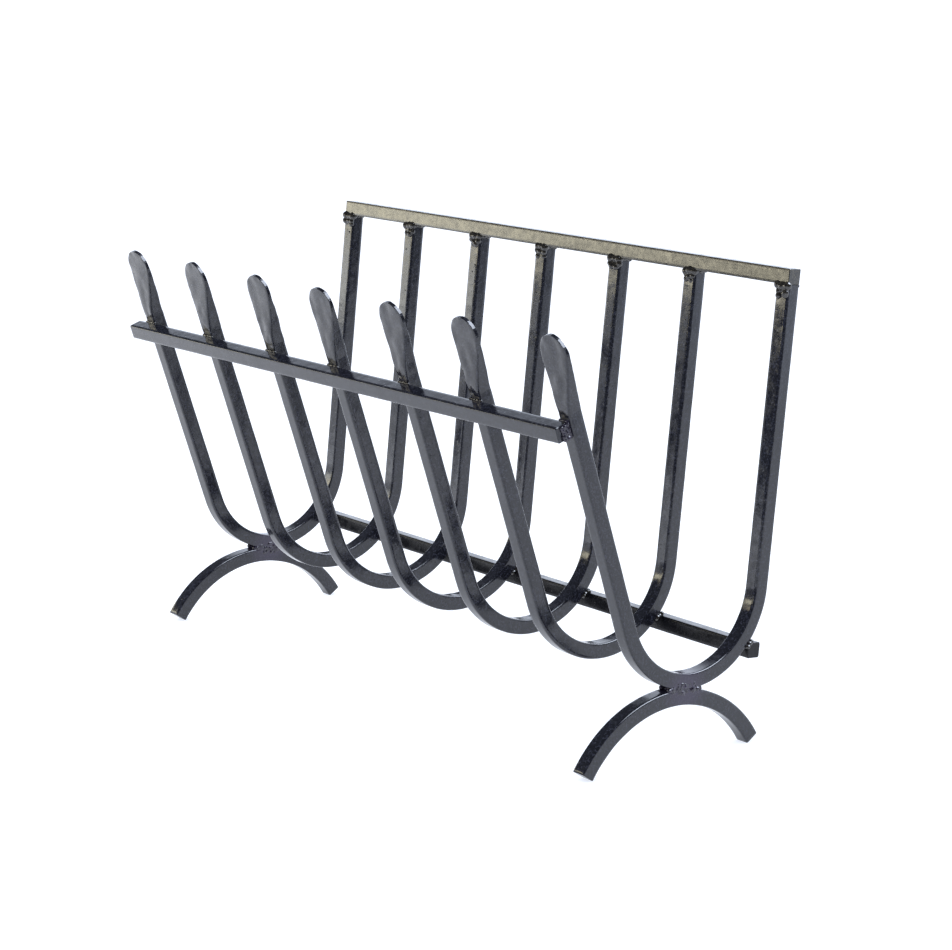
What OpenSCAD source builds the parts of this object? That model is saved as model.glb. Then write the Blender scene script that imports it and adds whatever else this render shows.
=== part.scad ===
// Firewood log rack: seven U-bent ribs of square bar, three rails and two arched feet, all welded.
// X runs along the rack, +Y is the back and +Z is up. The origin is on the floor, under the
// middle of the rack's outline.

/* [Bar] */
// Thickness of the square bar that every piece is cut from
bar = 12; // [8:0.5:16]

/* [Rack] */
// Distance between ribs where they are evenly spaced
rib_pitch = 90.6; // [60:0.1:120]
// Lean of the back legs away from vertical
back_lean = 4.8; // [0:0.1:12]
// Lean of the front legs away from vertical
front_lean = 19.6; // [8:0.1:32]
// How far behind the middle of the feet the ribs stand
rib_offset = 19; // [-20:0.5:40]

/* [Ribs] */
// Radius of the bend, to the middle of the bar
bend_r = 68; // [50:1:90]
// Length of the straight back leg, from the bend to the top rail
back_leg = 228; // [120:1:320]
// Length of the straight front leg, from the bend to the leaf
front_leg = 180; // [110:1:260]
// Length of the forged leaf
leaf_len = 59; // [45:1:80]
// Width of the leaf where it is widest
leaf_w = 28; // [18:0.5:34]
// Thickness of the leaf's thin end
leaf_t = 3; // [2:0.5:8]
// Length of the leaf's thin end, from its tip
leaf_flat = 16; // [2:1:30]

/* [Hand-set ribs] */
// Rib 2, moved along the rack from its even place
rib_2_shift = -1.5; // [-12:0.5:12]
// Rib 3, moved along the rack from its even place
rib_3_shift = 0; // [-12:0.5:12]
// Rib 4, moved along the rack from its even place
rib_4_shift = -5; // [-12:0.5:12]
// Rib 5, moved along the rack from its even place
rib_5_shift = -5; // [-12:0.5:12]
// Rib 6, moved along the rack from its even place
rib_6_shift = -9; // [-12:0.5:12]

/* [Rails] */
// Front rail, from the leaf down to its upper face
front_rail_drop = 5; // [4:0.5:40]
// Front rail, from the first rib's outer side to its left end
front_rail_left = 10; // [2:0.5:40]
// Front rail, from the last rib's outer side in to its right end
front_rail_right = 3.5; // [0:0.5:6]
// Lower rail, angle below level at which its corner meets the bends
lower_rail_angle = 40.5; // [25:0.5:60]

/* [Feet] */
// Radius of the arch, to the middle of the bar
foot_r = 99; // [75:1:130]
// Half of the arch, from its top to either end
foot_half_angle = 57.2; // [40:0.1:75]

/* [Welds] */
// Size of a bead in a corner
bead_r = 3.5; // [2:0.1:5]
// Half of the width of a bead across a flush seam
seam_r = 3; // [2:0.1:4]
// Height of a bead on a flush seam or on an outer side
bead_rise = 1.2; // [0.5:0.1:2]
// How far a bead wraps round the sides of a rib
bead_wrap = 2.5; // [1.5:0.1:4]
// Length of the weld between a foot and its rib
foot_weld_len = 38; // [20:1:44]
// Height of the weld between a foot and its rib, at its middle
foot_weld_h = 9; // [6:0.5:12]

/* [Hidden] */
$fn = 360;
half = bar / 2;
ribs = 7;
last = ribs;
tip_sides = 40;
rib_shift = [0, rib_2_shift, rib_3_shift, rib_4_shift, rib_5_shift, rib_6_shift, 0];
end_x = rib_pitch * (ribs - 1) / 2 + half;

// Bending and forging draw the bar in by this much on each face
draw_in = 0.02;
// How far the bend and the leaf run on inside the straight legs: a rib is one bar
lap = 1;

// Distances of the straight legs' faces from the bend's centre, and radii of the bent faces
leg_out = bend_r + half;
leg_in = bend_r - half;
bend_out = leg_out - draw_in;
bend_in = leg_in + draw_in;
foot_out = foot_r + half;
foot_in = foot_r - half;

// The arch's centre is below the floor, and its inner end corners are on the floor
foot_z = -foot_in * cos(foot_half_angle);
// The bend stands on the arch: their outer faces touch where the line of centres crosses them
centres = bend_out + foot_out;
touch_tilt = asin(rib_offset / centres);
bend_y = rib_offset;
bend_z = foot_z + centres * cos(touch_tilt);

// The front rail, in the front leg's own direction
front_rail_z = front_leg - front_rail_drop - bar;

// Outline of the whole rack, which places the origin
leaf_end = front_leg + leaf_len;
front_y = bend_y - max(
    (bend_r + leaf_t / 2) * cos(front_lean) + leaf_end * sin(front_lean),
    (leg_out + bar) * cos(front_lean) + (front_rail_z + bar) * sin(front_lean));
back_y = bend_y + leg_out * cos(back_lean) + (back_leg + bar) * sin(back_lean);
mid_y = (front_y + back_y) / 2;
left_x = -max(end_x + front_rail_left, end_x - half + leaf_w / 2);
right_x = end_x - half + max(leaf_w / 2, half + bead_rise);
mid_x = (left_x + right_x) / 2;

function rib_x(i) = (i - 1 - (ribs - 1) / 2) * rib_pitch + rib_shift[i - 1];

// How far a bead reaches past the left and the right side of rib i
function wrap_left(i) = i == 1 ? bead_rise : bead_wrap;
function wrap_right(i) = i == last ? bead_rise : bead_wrap;

// Puts the rack on its origin
module placed() translate([-mid_x, -mid_y, 0]) children();

// Turns a side outline, drawn with Y to the right and Z up, into a solid from x0 to x1
module from_side(x0, x1)
    translate([x0, 0, 0]) rotate([90, 0, 90]) linear_extrude(x1 - x0) children();

// Side outlines are drawn in three places: along the back leg, along the front leg, and
// level at the lower rail's corner. Each leg's own frame has Z along the leg, and Z is 0
// where the bend ends.
module at_back_leg() translate([bend_y, bend_z]) rotate(-back_lean) children();
module at_front_leg() translate([bend_y, bend_z]) rotate(front_lean) children();
module at_lower_rail()
    translate([bend_y + bend_out * cos(lower_rail_angle),
        bend_z - bend_out * sin(lower_rail_angle)])
        rotate(-back_lean) children();

// The side of a bent bar: a ring about the origin, kept from angle a0 round to angle a1
// and, at each end, a further length more
module bend_side(r_out, r_in, a0, a1, more = 0) {
    far = 2 * r_out;
    difference() {
        circle(r_out);
        circle(r_in);
        rotate(a0) translate([-far, -far - more]) square([2 * far, far]);
        rotate(a1) translate([-far, more]) square([2 * far, far]);
    }
}

module rib_side() {
    at_back_leg() translate([leg_in, 0]) square([bar, back_leg]);
    at_front_leg() translate([-leg_out, 0]) square([bar, front_leg]);
    translate([bend_y, bend_z]) bend_side(bend_out, bend_in, 180 + front_lean, -back_lean, lap);
}

module top_rail_side() at_back_leg() translate([leg_in, back_leg]) square(bar);
module front_rail_side() at_front_leg() translate([-leg_out - bar, front_rail_z]) square(bar);
module lower_rail_side() at_lower_rail() translate([0, -bar]) square(bar);
module foot_side()
    translate([0, foot_z])
        bend_side(foot_out, foot_in, 90 - foot_half_angle, 90 + foot_half_angle);

// The leaf seen from the front: straight edges run from the bar's sides to a round tip
module leaf_face() {
    tip_r = leaf_w / 2;
    c = leaf_len - tip_r;
    reach = sqrt(half * half + c * c);
    a = acos(tip_r / reach) - atan2(c, half);
    step = (180 - 2 * a) / tip_sides;
    tip = [for (k = [0:tip_sides])
        [tip_r * cos(a + k * step), c + tip_r * sin(a + k * step)]];
    neck = half - draw_in;
    polygon(concat([[-neck, -lap], [neck, -lap]], tip));
}

// The leaf seen from the side: it thins evenly from the bar to its thin end
module leaf_side() {
    neck = half - draw_in;
    thin = leaf_t / 2;
    thin_z = leaf_len - leaf_flat;
    polygon([[-neck, -lap], [neck, -lap], [thin, thin_z], [thin, leaf_len],
        [-thin, leaf_len], [-thin, thin_z]]);
}

module leaf(x)
    translate([x, bend_y, bend_z]) rotate([front_lean, 0, 0]) translate([0, -bend_r, front_leg])
        intersection() {
            from_side(-leaf_w, leaf_w) leaf_side();
            translate([0, half, 0]) rotate([90, 0, 0]) linear_extrude(bar) leaf_face();
        }

// One rib is one bar: back leg, bend, front leg and leaf
module rib(i) {
    x = rib_x(i);
    color("#26262b") placed() {
        from_side(x - half, x + half) rib_side();
        leaf(x);
    }
}

module top_rail() color("#3a372f") placed() from_side(-end_x, end_x) top_rail_side();

module front_rail()
    color("#55565c") placed()
        from_side(-end_x - front_rail_left, end_x - front_rail_right) front_rail_side();

module lower_rail() color("#1c1c20") placed() from_side(-end_x, end_x) lower_rail_side();

module foot(x) color("#232328") placed() from_side(x - half, x + half) foot_side();

// Three runs of bead side by side, along the corner under the top rail and across the flush
// front seam. The outer sides of the end ribs are flush with the rail's ends and have none.
module top_weld(i) {
    x = rib_x(i);
    first_run = leg_in - bead_rise + seam_r;
    step = (leg_out - seam_r - first_run) / 2;
    color("#2f2c26") placed() difference() {
        from_side(x - half - (i > 1 ? bead_r : 0), x + half + (i < last ? bead_r : 0))
            at_back_leg() for (k = [0:2]) translate([first_run + k * step, back_leg]) circle(seam_r);
        from_side(x - half, x + half) rib_side();
        from_side(-end_x, end_x) top_rail_side();
    }
}

// Beads above and below the front rail, joined round both sides of the rib
module front_weld(i) {
    x = rib_x(i);
    color("#1f1f23") placed() difference() {
        from_side(x - half - wrap_left(i), x + half + (i == last ? -front_rail_right : bead_wrap)) {
            at_front_leg() translate([-leg_out, front_rail_z]) circle(bead_r);
            at_front_leg() translate([-leg_out, front_rail_z + bar]) circle(bead_r);
            at_front_leg() translate([-leg_out, front_rail_z]) square([bead_wrap, bar]);
        }
        from_side(x - half, x + half) rib_side();
        from_side(-end_x - front_rail_left, end_x - front_rail_right) front_rail_side();
    }
}

// A bead round the lower rail's corner, above and below the line where it meets the bend
module lower_weld(i) {
    x = rib_x(i);
    color("#1a1a1e") placed() difference() {
        from_side(x - half - wrap_left(i), x + half + wrap_right(i))
            at_lower_rail() circle(bead_r + bead_rise);
        from_side(x - half, x + half) rib_side();
        from_side(-end_x, end_x) lower_rail_side();
    }
}

// Fills the wedges on both sides of the line where bend and arch touch, and covers the seam
module foot_weld(x) {
    // Two equal circles cross in a lens of the weld's length and height.
    lens_r = (foot_weld_len * foot_weld_len + foot_weld_h * foot_weld_h) / (4 * foot_weld_h);
    lens_c = lens_r - foot_weld_h / 2;
    color("#2b2830") placed() difference() {
        from_side(x - half - bead_rise, x + half + bead_rise)
            translate([0, foot_z]) rotate(-touch_tilt) translate([0, foot_out]) intersection() {
                translate([0, lens_c]) circle(lens_r);
                translate([0, -lens_c]) circle(lens_r);
            }
        from_side(x - half, x + half) rib_side();
        from_side(x - half, x + half) foot_side();
    }
}

rib(1);  // rib_1
rib(2);  // rib_2
rib(3);  // rib_3
rib(4);  // rib_4
rib(5);  // rib_5
rib(6);  // rib_6
rib(7);  // rib_7
top_rail();
front_rail();
lower_rail();
foot(rib_x(1));  // foot_left
foot(rib_x(last));  // foot_right
top_weld(1);  // top_weld_1
top_weld(2);  // top_weld_2
top_weld(3);  // top_weld_3
top_weld(4);  // top_weld_4
top_weld(5);  // top_weld_5
top_weld(6);  // top_weld_6
top_weld(7);  // top_weld_7
front_weld(1);  // front_weld_1
front_weld(2);  // front_weld_2
front_weld(3);  // front_weld_3
front_weld(4);  // front_weld_4
front_weld(5);  // front_weld_5
front_weld(6);  // front_weld_6
front_weld(7);  // front_weld_7
lower_weld(1);  // lower_weld_1
lower_weld(2);  // lower_weld_2
lower_weld(3);  // lower_weld_3
lower_weld(4);  // lower_weld_4
lower_weld(5);  // lower_weld_5
lower_weld(6);  // lower_weld_6
lower_weld(7);  // lower_weld_7
foot_weld(rib_x(1));  // foot_weld_left
foot_weld(rib_x(last));  // foot_weld_right
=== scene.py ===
from math import acos, atan2, cos, radians, sin, sqrt
from random import Random

import bmesh
import bpy
from mathutils import Matrix, Vector, noise


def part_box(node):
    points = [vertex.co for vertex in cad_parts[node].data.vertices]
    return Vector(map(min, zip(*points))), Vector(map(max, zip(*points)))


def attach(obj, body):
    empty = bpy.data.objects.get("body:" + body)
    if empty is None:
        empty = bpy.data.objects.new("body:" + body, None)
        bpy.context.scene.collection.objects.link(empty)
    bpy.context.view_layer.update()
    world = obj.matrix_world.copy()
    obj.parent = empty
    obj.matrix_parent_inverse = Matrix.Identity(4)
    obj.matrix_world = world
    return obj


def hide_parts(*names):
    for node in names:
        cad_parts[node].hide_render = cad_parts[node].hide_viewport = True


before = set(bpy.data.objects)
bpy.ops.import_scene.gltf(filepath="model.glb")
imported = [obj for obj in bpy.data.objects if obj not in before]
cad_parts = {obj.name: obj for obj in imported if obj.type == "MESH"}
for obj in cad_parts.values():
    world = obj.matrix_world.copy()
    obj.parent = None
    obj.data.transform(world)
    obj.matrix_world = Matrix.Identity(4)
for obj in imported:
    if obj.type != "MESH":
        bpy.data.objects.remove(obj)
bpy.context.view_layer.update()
print("frame loaded")

mm = 0.001
scene = bpy.context.scene
scene.view_settings.view_transform = "Standard"


camera = {
    "place": (1.604111, -1.263903, 0.596623),  # metres
    "azimuth": 50.893, "elevation": 11.792, "roll": 1.193,  # degrees, azimuth from the front
    "lens": 97.46, "sensor": 36, "clipEnd": 100,
}


def addCamera():
    azimuth, elevation = radians(camera["azimuth"]), radians(camera["elevation"])
    back = Vector((sin(azimuth) * cos(elevation), -cos(azimuth) * cos(elevation),
                   sin(elevation)))
    right = Vector((0, 0, 1)).cross(back).normalized()
    turn = Matrix((right, back.cross(right), back)).transposed()
    turn = turn @ Matrix.Rotation(radians(camera["roll"]), 3, "Z")
    data = bpy.data.cameras.new("camera")
    data.lens, data.sensor_width = camera["lens"], camera["sensor"]
    data.clip_end = camera["clipEnd"]
    eye = bpy.data.objects.new("camera", data)
    eye.matrix_world = Matrix.Translation(camera["place"]) @ turn.to_4x4()
    scene.collection.objects.link(eye)
    scene.camera = eye


addCamera()
print("camera set")


def hexColor(code):
    # sRGB hex to the linear values that a shader takes
    parts = [int(code[k:k + 2], 16) / 255 for k in (1, 3, 5)]
    return [p / 12.92 if p <= 0.04045 else ((p + 0.055) / 1.055) ** 2.4 for p in parts] + [1]


def perMetre(sizeMm):
    return 1000 / sizeMm


def addNode(tree, kind, settings=None, links=None):
    node = tree.nodes.new(kind)
    for name, value in (settings or {}).items():
        setattr(node, name, value)
    for socket, value in (links or {}).items():
        if isinstance(value, bpy.types.NodeSocket):
            tree.links.new(value, node.inputs[socket])
        else:
            node.inputs[socket].default_value = value
    return node


# Brushed-on black oil paint over hot-rolled steel: nearly black and semi-gloss, so it shows the
# room's light and dark, with the brush's ripple and the mill scale's small pits under it.
# Sizes and heights are in mm. A real pit is 0.3 mm wide, too fine to show, so it is drawn wider.
paintLooks = {
    "satinBlackPaint": {
        "paint": "#13141a", "dust": "#363843", "dustAmount": 0.6, "dustSize": 1.8,
        "smooth": 0.08, "rough": 0.19, "patchSize": 7.0,
        "ripple": 0.050, "rippleSize": 8.0, "grain": 0.019, "grainSize": 1.4,
        "pits": 0.08, "pitSize": 2.2, "pitDepth": 0.07, "specular": 0.56,
        "heat": 0.5, "heatColor": "#3a3149", "heatFrom": 27, "heatTo": 7,
    },
    # The top rail is rubbed by hands and logs: thin and less even paint. Its browner base and
    # khaki dust are partly a painted warm sheen, the warm lamps' reflection painted into its
    # colour
    "rubbedAndSheenPaint": {
        "paint": "#211f1a", "dust": "#565042", "dustAmount": 0.6, "dustSize": 1.6,
        "smooth": 0.16, "rough": 0.28, "patchSize": 5.0,
        "ripple": 0.030, "rippleSize": 9.0, "grain": 0.010, "grainSize": 1.2,
        "pits": 0.08, "pitSize": 2.2, "pitDepth": 0.05, "specular": 0.78,
    },
    # Paint pools on a weld bead and stays glossy, over the bead's own ripples
    "paintedWeld": {
        "paint": "#161412", "dust": "#454034", "dustAmount": 0.4, "dustSize": 1.6,
        "smooth": 0.05, "rough": 0.16, "patchSize": 2.5,
        "ripple": 0.05, "rippleSize": 2.6, "grain": 0.006, "grainSize": 1.0,
        "pits": 0.03, "pitSize": 1.8, "pitDepth": 0.08, "specular": 0.8,
    },
    # The feet's welds and the last front weld keep a violet heat colour under thin paint
    "heatTintedWeld": {
        "paint": "#1d1925", "dust": "#3d364b", "dustAmount": 0.6, "dustSize": 2.6,
        "smooth": 0.12, "rough": 0.32, "patchSize": 3.0,
        "ripple": 0.10, "rippleSize": 3.0, "grain": 0.02, "grainSize": 1.0,
        "pits": 0.1, "pitSize": 1.8, "pitDepth": 0.15, "specular": 0.6,
    },
    # Painted shade: the lower rail's paint is blacker and flatter than the rest, standing in for
    # the shaded floor under the rack that the rail reflects
    "shadedFlatBlackPaint": {
        "paint": "#0b0b0e", "dust": "#1d1e22", "dustAmount": 0.5, "dustSize": 2.2,
        "smooth": 0.16, "rough": 0.30, "patchSize": 7.0,
        "ripple": 0.045, "rippleSize": 8.0, "grain": 0.020, "grainSize": 1.4,
        "pits": 0.12, "pitSize": 2.2, "pitDepth": 0.08, "specular": 0.28,
    },
}
paintIor = 1.5  # dried oil paint
# The noises' detail, and which part of each noise or cell shows, the same in every paint
pattern = {
    "detail": {"dust": 5, "patch": 4, "ripple": 1, "grain": 3}, "roughness": 0.55,
    "dusty": (0.45, 0.70), "gloss": (0.30, 0.70), "pitRim": (0.12, 0.36), "pitBlend": 0.05,
}


def paintMaterial(name):
    look = paintLooks[name]
    material = bpy.data.materials.new(name)
    material.use_nodes = True
    tree = material.node_tree
    tree.nodes.clear()
    place = addNode(tree, "ShaderNodeTexCoord").outputs["Object"]
    cloud = {}
    for use, detail in pattern["detail"].items():
        cloud[use] = addNode(tree, "ShaderNodeTexNoise", {"noise_dimensions": "3D"}, {
            "Vector": place, "Scale": perMetre(look[use + "Size"]), "Detail": detail,
            "Roughness": pattern["roughness"]}).outputs["Fac"]

    # Pits are the middles of a few cells
    cells = addNode(tree, "ShaderNodeTexVoronoi", {"feature": "F1"}, {
        "Vector": place, "Scale": perMetre(look["pitSize"])})
    chance = addNode(tree, "ShaderNodeSeparateColor", {}, {"Color": cells.outputs["Color"]})
    part = {}
    pitShare = look["pits"], look["pits"] + pattern["pitBlend"]
    for use, value, (low, high), newLow, newHigh in (
            ("dusty", cloud["dust"], pattern["dusty"], 0, look["dustAmount"]),
            ("gloss", cloud["patch"], pattern["gloss"], look["smooth"], look["rough"]),
            ("rim", cells.outputs["Distance"], pattern["pitRim"], 0, 1),
            ("whole", chance.outputs["Red"], pitShare, 0, 1)):
        part[use] = addNode(tree, "ShaderNodeMapRange", {"interpolation_type": "SMOOTHSTEP"}, {
            "Value": value, "From Min": low, "From Max": high,
            "To Min": newLow, "To Max": newHigh}).outputs["Result"]
    pitted = addNode(tree, "ShaderNodeMath", {"operation": "MAXIMUM"}, {
        0: part["rim"], 1: part["whole"]}).outputs["Value"]
    color = addNode(tree, "ShaderNodeMix", {"data_type": "RGBA"}, {
        "Factor": part["dusty"], "A": hexColor(look["paint"]), "B": hexColor(look["dust"])})
    # Welding turned the bars violet round the feet's welds
    heated = ("foot_weld_left", "foot_weld_right") if "heat" in look else ()
    for node in heated:
        low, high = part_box(node)
        away = addNode(tree, "ShaderNodeVectorMath", {"operation": "DISTANCE"}, {
            0: place, 1: (low + high) / 2}).outputs["Value"]
        warmed = addNode(tree, "ShaderNodeMapRange", {"interpolation_type": "SMOOTHSTEP"}, {
            "Value": away, "From Min": look["heatTo"] * mm, "From Max": look["heatFrom"] * mm,
            "To Min": look["heat"], "To Max": 0}).outputs["Result"]
        color = addNode(tree, "ShaderNodeMix", {"data_type": "RGBA"}, {
            "Factor": warmed, "A": color.outputs["Result"], "B": hexColor(look["heatColor"])})

    shader = addNode(tree, "ShaderNodeBsdfPrincipled", {}, {
        "Base Color": color.outputs["Result"], "Roughness": part["gloss"], "IOR": paintIor,
        "Specular IOR Level": look["specular"]})
    normal = None
    for height, depth in ((cloud["ripple"], "ripple"), (cloud["grain"], "grain"),
                          (pitted, "pitDepth")):
        bump = addNode(tree, "ShaderNodeBump", {}, {
            "Height": height, "Distance": look[depth] * mm, "Strength": 1})
        if normal:
            tree.links.new(normal, bump.inputs["Normal"])
        normal = bump.outputs["Normal"]
    tree.links.new(normal, shader.inputs["Normal"])
    addNode(tree, "ShaderNodeOutputMaterial", {}, {"Surface": shader.outputs["BSDF"]})
    return material


paints = {name: paintMaterial(name) for name in paintLooks}
print("materials made")


# The square bar that everything is made of, in mm
bar = {
    "size": 12, "corner": 1.2, "wornCorner": 0.5, "cornerSteps": 3,
    "faceCuts": 5, "ring": 2.0,  # how finely the sides and the length are cut up
    "sawn": 0.5, "sawnScale": 0.93,  # the small chamfer that is filed on a sawn end
}
half = bar["size"] / 2
wave = {"height": 0.10, "size": 16, "fineHeight": 0.03, "fineSize": 5, "shift": (3.1, 5.7, 1.3)}


def addPiece(name, bm, paint, node, sharpAngle=50):
    bmesh.ops.recalc_face_normals(bm, faces=bm.faces)
    mesh = bpy.data.meshes.new(name)
    bm.to_mesh(mesh)
    bm.free()
    mesh.shade_smooth()
    mesh.set_sharp_from_angle(angle=radians(sharpAngle))
    for face in mesh.polygons:
        if len(face.vertices) > 4:  # only the cut end of a bar
            face.use_smooth = False
    piece = bpy.data.objects.new(name, mesh)
    scene.collection.objects.link(piece)
    mesh.materials.append(paints[paint])
    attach(piece, "root")
    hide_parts(node)


def barSection(bm, corner=bar["corner"]):
    # The bar's end: a square with rounded corners, its sides cut up for the waves
    bmesh.ops.create_grid(bm, x_segments=1, y_segments=1, size=half * mm)
    bmesh.ops.bevel(bm, geom=bm.verts[:], offset=corner * mm, offset_type="OFFSET",
                    segments=bar["cornerSteps"], profile=0.5, affect="VERTICES", material=-1)
    sides = [e for e in bm.edges if e.calc_length() > half * mm]
    bmesh.ops.subdivide_edges(bm, edges=sides, cuts=bar["faceCuts"])
    return bm.faces[:][0]


def drawOut(bm, face, move, scale=(1, 1, 1)):
    # One step of the bar's end face
    made = bmesh.ops.extrude_face_region(bm, geom=[face])
    face = [g for g in made["geom"] if isinstance(g, bmesh.types.BMFace)][0]
    bmesh.ops.scale(bm, vec=scale, verts=face.verts)
    bmesh.ops.translate(bm, vec=move, verts=face.verts)
    return face


def roll(bm, seed, strength=1):
    # The slight waves that rolling, bending and hammering leave in a bar, different in each one
    bm.normal_update()
    shift = Vector([seed * step for step in wave["shift"]])
    for vert in bm.verts:
        coarse = noise.noise(vert.co * perMetre(wave["size"]) + shift) * wave["height"]
        fine = noise.noise(vert.co * perMetre(wave["fineSize"]) + shift) * wave["fineHeight"]
        vert.co += vert.normal * (coarse + fine) * strength * mm


# Ribs: one bar each, bent into a U, its front end forged into a leaf. In mm and degrees
lastRib = 7
rib = {
    "bendRadius": 68, "backLean": 4.8, "frontLean": 19.6, "backLeg": 228, "frontLeg": 180,
    "leafLength": 59, "leafWidth": 28, "leafThin": 3, "leafFlat": 16, "leafEase": 0.5,
    "leafStep": 1.5, "tipAngle": 84, "tipTurn": 7,
    "hammer": 0.7, "hammerAcross": 7, "hammerAlong": 16,  # the hammer marks' depth and size
    "hammerFine": 0.4, "hammerFiner": 2.3, "hammerShift": 7,
    "facetGap": 0.02,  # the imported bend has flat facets, so its box ends about this high
}


def leafShape():
    # Each step of the leaf: how far along it is, and its half width
    radius = rib["leafWidth"] / 2
    middle = rib["leafLength"] - radius
    reach = sqrt(half * half + middle * middle)
    first = acos(radius / reach) - atan2(middle, half)
    sideEnd, sideHalf = middle + radius * sin(first), radius * cos(first)
    steps = round(sideEnd / rib["leafStep"])
    for k in range(1, steps + 1):
        share = k / steps
        swell = share * share * (3 - 2 * share)
        yield sideEnd * share, half + (sideHalf - half) * (share + swell) / 2
    last = radians(rib["tipAngle"])
    turns = round((last - first) / radians(rib["tipTurn"]))
    for k in range(1, turns + 1):
        angle = first + (last - first) * k / turns
        yield middle + radius * sin(angle), radius * cos(angle)


def addRib(i):
    low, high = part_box(f"rib_{i}")
    bm = bmesh.new()
    start = barSection(bm)
    face = start
    legSteps = round(rib["frontLeg"] / bar["ring"])
    for k in range(legSteps):
        face = drawOut(bm, face, (0, 0, rib["frontLeg"] / legSteps * mm))

    # The leaf widens and thins, then closes in a round tip
    along, wide, thick = 0, half, bar["size"]
    taper = rib["leafLength"] - rib["leafFlat"] * rib["leafEase"]
    for newAlong, newWide in leafShape():
        share = min(1, newAlong / taper)
        newThick = bar["size"] - (bar["size"] - rib["leafThin"]) * share * share * (3 - 2 * share)
        face = drawOut(bm, face, (0, 0, (newAlong - along) * mm),
                       (newWide / wide, newThick / thick, 1))
        along, wide, thick = newAlong, newWide, newThick

    # The hammer's marks run along the leaf
    for vert in bm.verts:
        up = vert.co.z - rib["frontLeg"] * mm
        if up > 0:
            mark = Vector((vert.co.x * perMetre(rib["hammerAcross"])
                           + rib["hammerShift"] * i, 0, up * perMetre(rib["hammerAlong"])))
            fine = noise.noise(mark * rib["hammerFiner"])
            depth = noise.noise(mark) + rib["hammerFine"] * fine
            vert.co.y += depth * rib["hammer"] * mm

    # From the leg's foot the bar bends round to the back leg
    radius = rib["bendRadius"] * mm
    bmesh.ops.translate(bm, vec=(0, -radius, 0), verts=bm.verts)
    bend = radians(180 - rib["frontLean"] - rib["backLean"])
    bendSteps = round(bend * rib["bendRadius"] / bar["ring"])
    spun = bmesh.ops.spin(bm, geom=[start, *start.edges, *start.verts], cent=(0, 0, 0),
                          axis=(1, 0, 0), dvec=(0, 0, 0), angle=bend, steps=bendSteps)
    face = [g for g in spun["geom_last"] if isinstance(g, bmesh.types.BMFace)][0]
    backTurn = -radians(rib["frontLean"] + rib["backLean"])
    legSteps = round(rib["backLeg"] / bar["ring"])
    step = rib["backLeg"] / legSteps * mm
    for k in range(legSteps):
        face = drawOut(bm, face, (0, -sin(backTurn) * step, cos(backTurn) * step))

    roll(bm, i)
    lean = radians(rib["backLean"])
    outer = (rib["bendRadius"] + half) * mm
    middle = Vector(((low.x + high.x) / 2,
                     high.y - outer * cos(lean) - rib["backLeg"] * sin(lean) * mm,
                     low.z + outer - rib["facetGap"] * mm))
    bmesh.ops.transform(bm, verts=bm.verts, matrix=Matrix.Translation(middle)
                        @ Matrix.Rotation(radians(rib["frontLean"]), 4, "X"))
    addPiece(f"ribBar{i}", bm, "satinBlackPaint", f"rib_{i}")
    return middle


ribMiddles = [addRib(i) for i in range(1, lastRib + 1)]
print("ribs made")


# Rails: straight bar with sawn ends, each turned with the legs that it is welded to
railWave = 0.8  # rails are straighter than ribs


def addRail(name, node, lean, paint, seed, corner=bar["corner"]):
    low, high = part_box(node)
    length = (high.x - low.x) / mm
    bm = bmesh.new()
    start = barSection(bm, corner)
    run = length - 2 * bar["sawn"]
    steps = round(run / bar["ring"])
    face = start
    for k in range(steps):
        face = drawOut(bm, face, (0, 0, run / steps * mm))
    sawn = (bar["sawnScale"], bar["sawnScale"], 1)
    drawOut(bm, face, (0, 0, bar["sawn"] * mm), sawn)
    drawOut(bm, start, (0, 0, -bar["sawn"] * mm), sawn)
    roll(bm, seed, railWave)
    middle = (low + high) / 2
    bmesh.ops.transform(bm, verts=bm.verts, matrix=Matrix.Translation(middle)
                        @ Matrix.Rotation(radians(lean), 4, "X")
                        @ Matrix.Rotation(radians(90), 4, "Y")
                        @ Matrix.Translation((0, 0, -run / 2 * mm)))
    addPiece(name, bm, paint, node)


# The top rail's paint holds real wear and a painted warm sheen
addRail("topRailBar", "top_rail", -rib["backLean"], "rubbedAndSheenPaint", 11,
        bar["wornCorner"])
addRail("frontRailBar", "front_rail", rib["frontLean"], "satinBlackPaint", 12)
# The lower rail gets the blacker paint that is painted shade
addRail("lowerRailBar", "lower_rail", -rib["backLean"], "shadedFlatBlackPaint", 13)
print("rails made")


# Feet: arched bar with its ends cut square, standing on their edges. In mm and degrees
foot = {"radius": 99, "halfAngle": 57.2, "sawnIn": 0.4}


def addFoot(name, node, seed):
    low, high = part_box(node)
    radius = foot["radius"] * mm
    sawnTurn = bar["sawn"] / foot["radius"]
    turn = 2 * radians(foot["halfAngle"]) - 2 * sawnTurn
    bm = bmesh.new()
    start = barSection(bm)
    bmesh.ops.translate(bm, vec=(0, -radius, 0), verts=bm.verts)
    spun = bmesh.ops.spin(bm, geom=[start, *start.edges, *start.verts], cent=(0, 0, 0),
                          axis=(1, 0, 0), dvec=(0, 0, 0), angle=turn,
                          steps=round(turn * foot["radius"] / bar["ring"]))
    roll(bm, seed)
    # Each end is inset and moved out by the chamfer
    for end in [f for f in bm.faces if len(f.verts) > 4]:
        bmesh.ops.recalc_face_normals(bm, faces=bm.faces)
        bmesh.ops.inset_region(bm, faces=[end], thickness=foot["sawnIn"] * mm,
                               depth=bar["sawn"] * mm, use_even_offset=True)
    middle = Vector(((low.x + high.x) / 2, (low.y + high.y) / 2,
                     -(foot["radius"] - half) * cos(radians(foot["halfAngle"])) * mm))
    level = -radians(90 + foot["halfAngle"]) + sawnTurn
    bmesh.ops.transform(bm, verts=bm.verts, matrix=Matrix.Translation(middle)
                        @ Matrix.Rotation(level, 4, "X"))
    addPiece(name, bm, "satinBlackPaint", node)
    return middle


footMiddles = [addFoot("footBarLeft", "foot_left", 21), addFoot("footBarRight", "foot_right", 22)]
print("feet made")


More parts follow.
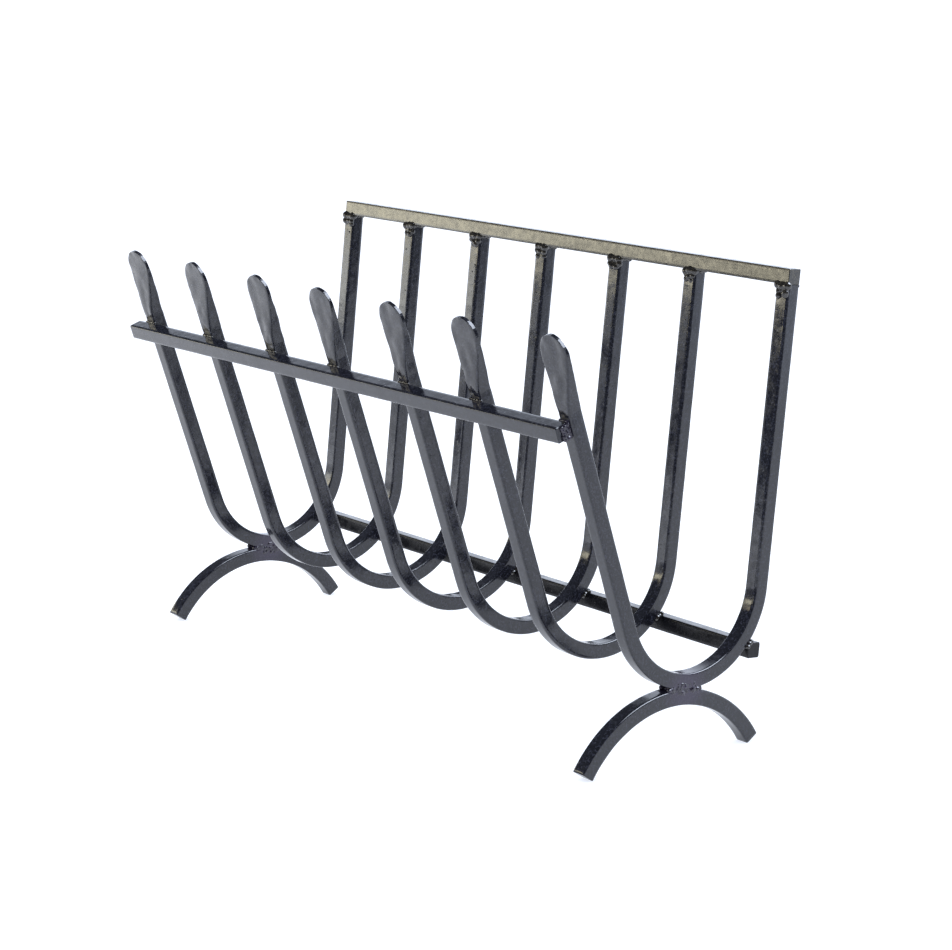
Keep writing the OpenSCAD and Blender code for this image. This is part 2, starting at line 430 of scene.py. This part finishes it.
# Welds: rows of drops run together, each piece on its own seam, in mm
weld = {"voxel": 0.4, "smoothing": 3, "smoothBy": 0.5, "lump": 0.16, "lumpSize": 3.2,
        "shift": (2.3, 0, 1)}


def dropRow(rng, start, end, count, size, jitter):
    # Drops from start to end: a place, moved at random by up to jitter, and a radius
    start, end = Vector(start), Vector(end)
    for k in range(count):
        share = k / max(1, count - 1)
        place = start.lerp(end, share)
        place += Vector((rng.uniform(-jitter, jitter) for axis in range(3)))
        yield place, rng.uniform(*size)


def addWeld(name, node, drops, place, seed, paint="paintedWeld"):
    bm = bmesh.new()
    for at, radius in drops:
        bmesh.ops.create_icosphere(bm, subdivisions=2, radius=radius * mm,
                                   matrix=place @ Matrix.Translation(at * mm))
    mesh = bpy.data.meshes.new("drops")
    bm.to_mesh(mesh)
    bm.free()
    loose = bpy.data.objects.new("drops", mesh)
    scene.collection.objects.link(loose)
    skin = loose.modifiers.new("skin", "REMESH")
    skin.mode, skin.voxel_size = "VOXEL", weld["voxel"] * mm
    bpy.context.view_layer.update()
    joined = bpy.data.meshes.new_from_object(
        loose.evaluated_get(bpy.context.evaluated_depsgraph_get()))
    bpy.data.objects.remove(loose)
    bm = bmesh.new()
    bm.from_mesh(joined)
    for k in range(weld["smoothing"]):
        bmesh.ops.smooth_vert(bm, verts=bm.verts, factor=weld["smoothBy"], use_axis_x=True,
                              use_axis_y=True, use_axis_z=True)
    bm.normal_update()
    shift = Vector([seed * step for step in weld["shift"]])
    for vert in bm.verts:
        lump = noise.noise(vert.co * perMetre(weld["lumpSize"]) + shift)
        vert.co += vert.normal * lump * weld["lump"] * mm
    addPiece(name, bm, paint, node, sharpAngle=180)


def legPlace(middle, lean):
    # A leg's own frame: its origin is the bend's middle, and Z runs up the leg
    return Matrix.Translation(middle) @ Matrix.Rotation(radians(lean), 4, "X")


# A leg's inner and outer face, measured from the bend's middle
legIn, legOut = rib["bendRadius"] - half, rib["bendRadius"] + half
topSeam = {
    # Rows of drops: (x, depth under the leg's end) at both ends, count, radii, jitter
    "front": (((-4.4, 1.2), (4.6, 0.8), 3, (3.0, 3.8), 0.5),
              ((-4.0, 5.0), (4.4, 5.4), 3, (2.3, 3.1), 0.9),
              ((-2.0, 8.0), (3.0, 8.0), 2, (2.3, 3.1), 1.2)),
    "back": (((-4.6, 0.6), (4.6, 0.6), 7, (1.4, 2.0), 0.5),),
    "sink": 0.7,
    "sideOut": 0.3, "sideIn": 1, "sideDown": 0.7,
    "sideDrops": 6, "sideSize": (1.3, 1.9), "sideJitter": 0.4,
    "spatter": 3, "spatterSize": (0.9, 1.5), "spatterWide": 4, "spatterSink": 0.7,
    "spatterReach": (11, 62),  # how far down the leg
    "seed": 100,
}


def addTopWeld(i):
    rng = Random(topSeam["seed"] + i)
    top = rib["backLeg"]
    drops = []
    for rows, y in (("front", legIn + topSeam["sink"]), ("back", legOut - topSeam["sink"])):
        for (startX, startDown), (endX, endDown), count, size, jitter in topSeam[rows]:
            drops += dropRow(rng, (startX, y, top - startDown), (endX, y, top - endDown),
                             count, size, jitter)
    # The first and the last leg are flush with the rail's ends, so they are welded on one side
    for side in {1: (1,), lastRib: (-1,)}.get(i, (-1, 1)):
        x, z = side * (half + topSeam["sideOut"]), top - topSeam["sideDown"]
        drops += dropRow(rng, (x, legIn + topSeam["sideIn"], z),
                         (x, legOut - topSeam["sideIn"], z), topSeam["sideDrops"],
                         topSeam["sideSize"], topSeam["sideJitter"])
    # Spatter: small lumps that flew off the weld and stuck to the leg's front
    wide = topSeam["spatterWide"]
    for k in range(topSeam["spatter"]):
        at = Vector((rng.uniform(-wide, wide), legIn + topSeam["spatterSink"],
                     top - rng.uniform(*topSeam["spatterReach"])))
        drops.append((at, rng.uniform(*topSeam["spatterSize"])))
    addWeld(f"topWeldBead{i}", f"top_weld_{i}", drops,
            legPlace(ribMiddles[i - 1], -rib["backLean"]), i)


frontSeam = {
    "drop": 5, "drops": 14, "size": (0.8, 1.2), "jitter": 0.2, "sideOut": 0.2,
    # The last rib's weld: how far short the rail stops, and the rows over its end
    "shortEnd": 3.5, "endRows": ((1.2, 7), (4.0, 6), (6.8, 5)),  # (out from the leg, count)
    "endOut": 0.6, "endIn": 1.5, "endSize": (1.5, 2.1), "endJitter": 0.5,
    "seed": 200,
}


def addFrontWeld(i):
    rng = Random(frontSeam["seed"] + i)
    railTop = rib["frontLeg"] - frontSeam["drop"]
    railLow = railTop - bar["size"]
    count, size, jitter = frontSeam["drops"], frontSeam["size"], frontSeam["jitter"]
    end = half - frontSeam["shortEnd"] if i == lastRib else half
    side = half + frontSeam["sideOut"]
    drops = []
    for z in (railTop, railLow):
        drops += dropRow(rng, (-half, -legOut, z), (end, -legOut, z), count, size, jitter)
    for x in ((-side,) if i == lastRib else (-side, side)):
        drops += dropRow(rng, (x, -legOut, railLow), (x, -legOut, railTop), count, size, jitter)
    paint = "paintedWeld"
    if i == lastRib:
        # The rail stops short of the last rib's side, and its end is welded over
        paint = "heatTintedWeld"
        x = end + frontSeam["endOut"]
        low, high = railLow + frontSeam["endIn"], railTop - frontSeam["endIn"]
        for out, count in frontSeam["endRows"]:
            drops += dropRow(rng, (x, -legOut - out, low), (x, -legOut - out, high), count,
                             frontSeam["endSize"], frontSeam["endJitter"])
    addWeld(f"frontWeldBead{i}", f"front_weld_{i}", drops,
            legPlace(ribMiddles[i - 1], rib["frontLean"]), 10 + i, paint)


lowerSeam = {
    "rows": ((2.2, 0.9), (-1.1, -2.4)), "out": 0.4, "drops": 7, "jitter": 0.4,
    "sideRow": ((-2.0, -2.6), (2.4, 1.4)), "sideDrops": 5, "sideJitter": 0.3,
    "size": (1.4, 2.1), "seed": 300,
}


def addLowerWeld(i):
    rng = Random(lowerSeam["seed"] + i)
    railLow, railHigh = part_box("lower_rail")
    lean = radians(rib["backLean"])
    corner = Vector((ribMiddles[i - 1].x, railLow.y + bar["size"] * sin(lean) * mm, railHigh.z))
    reach = half + lowerSeam["out"]
    drops = []
    for y, z in lowerSeam["rows"]:
        drops += dropRow(rng, (-reach, y, z), (reach, y, z), lowerSeam["drops"],
                         lowerSeam["size"], lowerSeam["jitter"])
    sideStart, sideEnd = lowerSeam["sideRow"]
    for x in (-half, half):
        drops += dropRow(rng, (x, *sideStart), (x, *sideEnd), lowerSeam["sideDrops"],
                         lowerSeam["size"], lowerSeam["sideJitter"])
    addWeld(f"lowerWeldBead{i}", f"lower_weld_{i}", drops,
            legPlace(corner, -rib["backLean"]), 20 + i)


footSeam = {
    "sink": 1.7, "step": 2.0, "size": (1.8, 2.3), "jitter": 0.5,
    "rows": ((0, 15.5), (2.0, 12), (-2.0, 12), (4.0, 8), (-4.0, 8)),  # (height, half length)
    "lumps": ((3, -2), (6, -1), (9, 0.5), (12.5, 0), (15, 1.5), (-14, 0.5)),  # (y, height)
    "lumpOut": 1.15, "lumpSize": (1.3, 1.8),
    "end": 13, "endIn": 1, "endDrops": 6, "endSize": (1.6, 2.1), "seed": 400,
}


def addFootWeld(name, node, ribMiddle, footMiddle, seed):
    rng = Random(footSeam["seed"] + seed)
    # The bead sits where the bend touches the arch, on the line between their middles
    across = ribMiddle - footMiddle
    across.x = 0
    tilt = -atan2(across.y, across.z)
    touch = footMiddle + across.normalized() * (foot["radius"] + half) * mm
    drops = []
    for x in (-half + footSeam["sink"], half - footSeam["sink"]):
        for z, reach in footSeam["rows"]:
            count = round(2 * reach / footSeam["step"])
            drops += dropRow(rng, (x, -reach, z), (x, reach, z), count, footSeam["size"],
                             footSeam["jitter"])
        for y, z in footSeam["lumps"]:
            drops.append((Vector((x * footSeam["lumpOut"], y, z)),
                          rng.uniform(*footSeam["lumpSize"])))
    wide = half - footSeam["endIn"]
    for y in (-footSeam["end"], footSeam["end"]):
        drops += dropRow(rng, (-wide, y, 0), (wide, y, 0), footSeam["endDrops"],
                         footSeam["endSize"], footSeam["jitter"])
    addWeld(name, node, drops, Matrix.Translation(touch) @ Matrix.Rotation(tilt, 4, "X"),
            30 + seed, "heatTintedWeld")


for i in range(1, lastRib + 1):
    addTopWeld(i)
    addFrontWeld(i)
    addLowerWeld(i)
addFootWeld("footWeldBeadLeft", "foot_weld_left", ribMiddles[0], footMiddles[0], 1)
addFootWeld("footWeldBeadRight", "foot_weld_right", ribMiddles[-1], footMiddles[1], 2)
print("welds made")


# White paper on the floor: it glows a little, so that it stays white under the rack
floor = {"halfSize": 1.35, "color": "#bcbcbc", "glow": 0.68, "rough": 0.9, "specular": 0.1}


def addFloor():
    bm = bmesh.new()
    bmesh.ops.create_grid(bm, x_segments=1, y_segments=1, size=floor["halfSize"])
    mesh = bpy.data.meshes.new("floor")
    bm.to_mesh(mesh)
    bm.free()
    ground = bpy.data.objects.new("floor", mesh)
    scene.collection.objects.link(ground)
    material = bpy.data.materials.new("paperFloor")
    material.use_nodes = True
    shader = material.node_tree.nodes["Principled BSDF"]
    shader.inputs["Base Color"].default_value = hexColor(floor["color"])
    shader.inputs["Roughness"].default_value = floor["rough"]
    shader.inputs["Specular IOR Level"].default_value = floor["specular"]
    shader.inputs["Emission Color"].default_value = light["fillColor"]
    shader.inputs["Emission Strength"].default_value = floor["glow"]
    mesh.materials.append(material)


# A way is the direction from the rack, and From and To are where its light starts and is full
light = {
    "fill": 1.35, "fillColor": (0.93, 0.98, 1.09, 1),  # lights the floor and the paint all round
    "shine": 0.08, "shineColor": (0.88, 0.96, 1.12, 1),  # what gloss shows of the dark room
    "wall": 1.7, "wallFrom": 0.32, "wallTo": 0.54,  # the pale wall behind
    "wallWay": (-0.35, 1.0, -0.42),
    "window": 13.0, "windowFrom": 0.87, "windowTo": 0.95,  # the bright roof window
    "windowWay": (0.42, 0.42, 0.80),
}
# Soft lamps at the rack's left front, in metres and watts, turned towards the rack
panelAim = (0, 0.05)
panels = {
    "warmPanel": {"place": (-1.05, -0.85, 0.39), "size": (1.5, 0.14), "power": 4.15,
                  "color": "#fff7da"},
    "warmEdge": {"place": (-1.28, -0.58, 0.255), "size": (0.6, 0.1), "power": 0.66,
                 "color": "#fbfaee"},
    "warmLamp": {"place": (-0.65, -0.85, 0.48), "size": (0.12, 0.08), "power": 0.1,
                 "color": "#fff0d0"},
    # Brightens the floor at the left, and isn't seen in gloss itself
    "floorLamp": {"place": (-1.0, -0.45, 0.75), "size": (0.7, 0.7), "power": 7.5,
                  "color": "#f6f8ff", "down": True},
    "lowPanel": {"place": (-1.25, -0.45, 0.155), "size": (1.4, 0.31), "power": 1.6,
                 "color": "#f4f8ff"},
}


def addWorld():
    world = bpy.data.worlds.new("studio")
    world.use_nodes = True
    scene.world = world
    tree = world.node_tree
    tree.nodes.clear()
    path = addNode(tree, "ShaderNodeLightPath")
    way = addNode(tree, "ShaderNodeTexCoord").outputs["Generated"]
    strength = []
    for part, base in (("wall", light["shine"]), ("window", 0)):
        facing = addNode(tree, "ShaderNodeVectorMath", {"operation": "DOT_PRODUCT"}, {
            0: way, 1: light[part + "Way"]})
        strength.append(addNode(tree, "ShaderNodeMapRange", {
            "interpolation_type": "SMOOTHSTEP"}, {
            "Value": facing.outputs["Value"], "From Min": light[part + "From"],
            "From Max": light[part + "To"], "To Min": base,
            "To Max": light[part]}).outputs["Result"])
    room = addNode(tree, "ShaderNodeMath", {"operation": "ADD"}, {0: strength[0], 1: strength[1]})
    fill = addNode(tree, "ShaderNodeBackground", {}, {
        "Color": light["fillColor"], "Strength": light["fill"]})
    shine = addNode(tree, "ShaderNodeBackground", {}, {
        "Color": light["shineColor"], "Strength": room.outputs["Value"]})
    mixed = addNode(tree, "ShaderNodeMixShader", {}, {
        0: path.outputs["Is Glossy Ray"], 1: fill.outputs["Background"],
        2: shine.outputs["Background"]})
    addNode(tree, "ShaderNodeOutputWorld", {}, {"Surface": mixed.outputs["Shader"]})


def addPanel(name):
    panel = panels[name]
    data = bpy.data.lights.new(name, "AREA")
    data.shape = "RECTANGLE"
    data.size, data.size_y = panel["size"]
    data.energy = panel["power"]
    data.color = hexColor(panel["color"])[:3]
    lamp = bpy.data.objects.new(name, data)
    lamp.visible_camera = False
    place = Vector(panel["place"])
    aim = Vector((0, 0, -1)) if "down" in panel else Vector((*panelAim, place.z)) - place
    lamp.visible_glossy = "down" not in panel
    lamp.matrix_world = (Matrix.Translation(place)
                         @ aim.to_track_quat("-Z", "Y").to_matrix().to_4x4())
    scene.collection.objects.link(lamp)


addFloor()
addWorld()
for name in panels:
    addPanel(name)
print("floor and light made")
